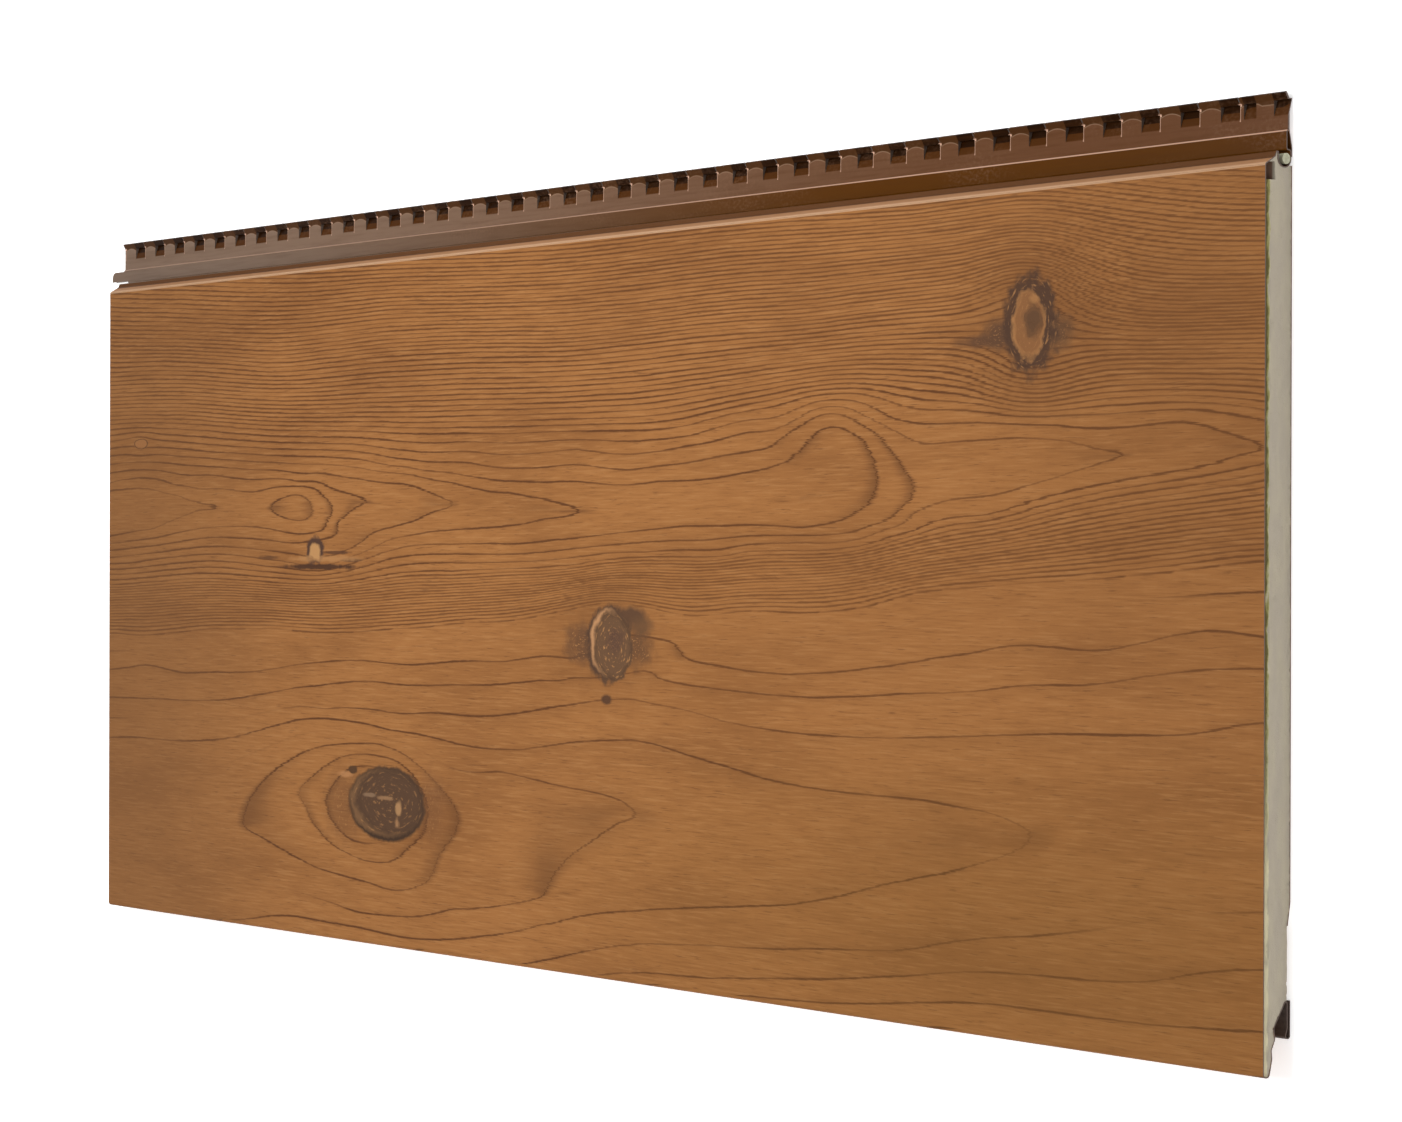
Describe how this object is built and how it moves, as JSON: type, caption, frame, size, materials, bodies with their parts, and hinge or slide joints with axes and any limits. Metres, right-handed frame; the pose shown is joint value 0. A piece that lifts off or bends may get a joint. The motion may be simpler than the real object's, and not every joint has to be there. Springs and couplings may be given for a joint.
{
  "type": "insulated metal siding panel",
  "caption": "Foam-filled metal siding panel with a wood-grain printed face, a lower locking lip and an upper toothed nailing flange.",
  "frame": {"origin": "middle of the back: half-way along the panel, half-way up the cover width, on the plane of the back facing", "axes": "+X along the panel to the end without the tab, +Y up the face to the nailing flange, +Z out of the printed face"},
  "size_m": [1.02, 0.4136, 0.016],
  "materials": {
    "printed_steel": "satin wood-grain print on the face, plain glossy brown on the strip and the flange",
    "foam": "cut rigid foam, matt, fine pores",
    "back_facing": "dull thin facing",
    "seal_rope": "matt pale sealing rope"
  },
  "bodies": {
    "root": {"face_sheet": "printed_steel", "foam_core": "foam", "backing_sheet": "back_facing", "seal_bead": "seal_rope"}
  },
  "joints": []
}
